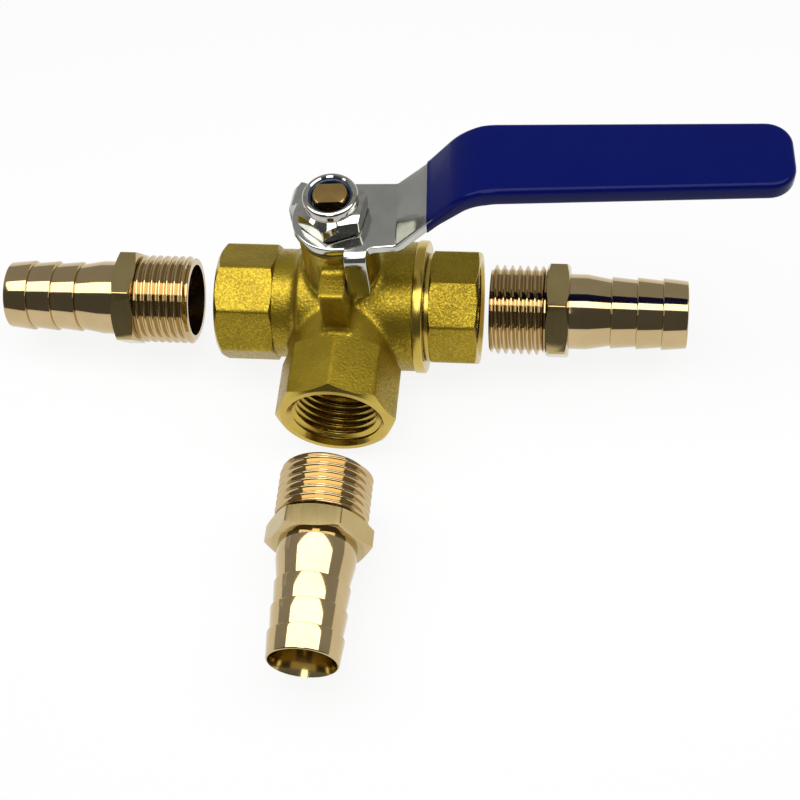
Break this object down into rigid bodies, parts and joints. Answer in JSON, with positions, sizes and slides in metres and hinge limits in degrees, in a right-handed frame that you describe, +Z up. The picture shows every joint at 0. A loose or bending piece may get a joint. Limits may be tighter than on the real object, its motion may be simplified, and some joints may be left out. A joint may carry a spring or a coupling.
{
  "type": "three way ball valve",
  "caption": "Brass three way ball valve with a bent steel lever in a vinyl sleeve, flatted threaded ports and barbed hose tails that screw into them.",
  "frame": {"origin": "middle of the footprint of valve and hose tails, on the surface that the body lies on", "axes": "+X from the left port to the right port, the lever's side; +Y away from the front port; +Z up the stem"},
  "size_m": [0.1818, 0.1076, 0.0681],
  "materials": {
    "brass_cast": "blasted forging, satin",
    "brass_turned": "turned, bright",
    "steel": "plated strip, satin",
    "plated_steel": "plated, bright",
    "chrome": "polished",
    "vinyl": "dipped vinyl, gloss",
    "nylon": "moulded",
    "ptfe": "turned",
    "rubber": "moulded"
  },
  "bodies": {
    "valve": {"valve_body": "brass_cast", "end_cap": "brass_cast", "cap_seal": "ptfe", "seat_left": "ptfe", "seat_right": "ptfe", "seat_front": "ptfe", "thrust_washer": "ptfe", "packing_ring_lower": "ptfe", "packing_ring_upper": "ptfe", "gland_nut": "brass_turned"},
    "handle": {"ball": "chrome", "stem": "brass_turned", "stem_o_ring": "rubber", "lever": "steel", "grip_sleeve": "vinyl", "lock_nut": "plated_steel", "lock_nut_insert": "nylon"},
    "tail_left": {"hose_tail_left": "brass_turned"},
    "tail_right": {"hose_tail_right": "brass_turned"},
    "tail_front": {"hose_tail_front": "brass_turned"}
  },
  "joints": [
    {"name": "handle_turn", "type": "hinge", "parent": "valve", "child": "handle", "pos_m": [-0.00789, 0.03815, 0.0157], "axis": [0, 0, 1], "range_deg": [0, 90]},
    {"name": "tail_left_slide", "type": "slide", "parent": "valve", "child": "tail_left", "axis": [1, 0, 0], "range_m": [0, 0.0197]},
    {"name": "tail_right_slide", "type": "slide", "parent": "valve", "child": "tail_right", "axis": [-1, 0, 0], "range_m": [0, 0.0152]},
    {"name": "tail_front_slide", "type": "slide", "parent": "valve", "child": "tail_front", "axis": [0, 1, 0], "range_m": [0, 0.0267]}
  ]
}
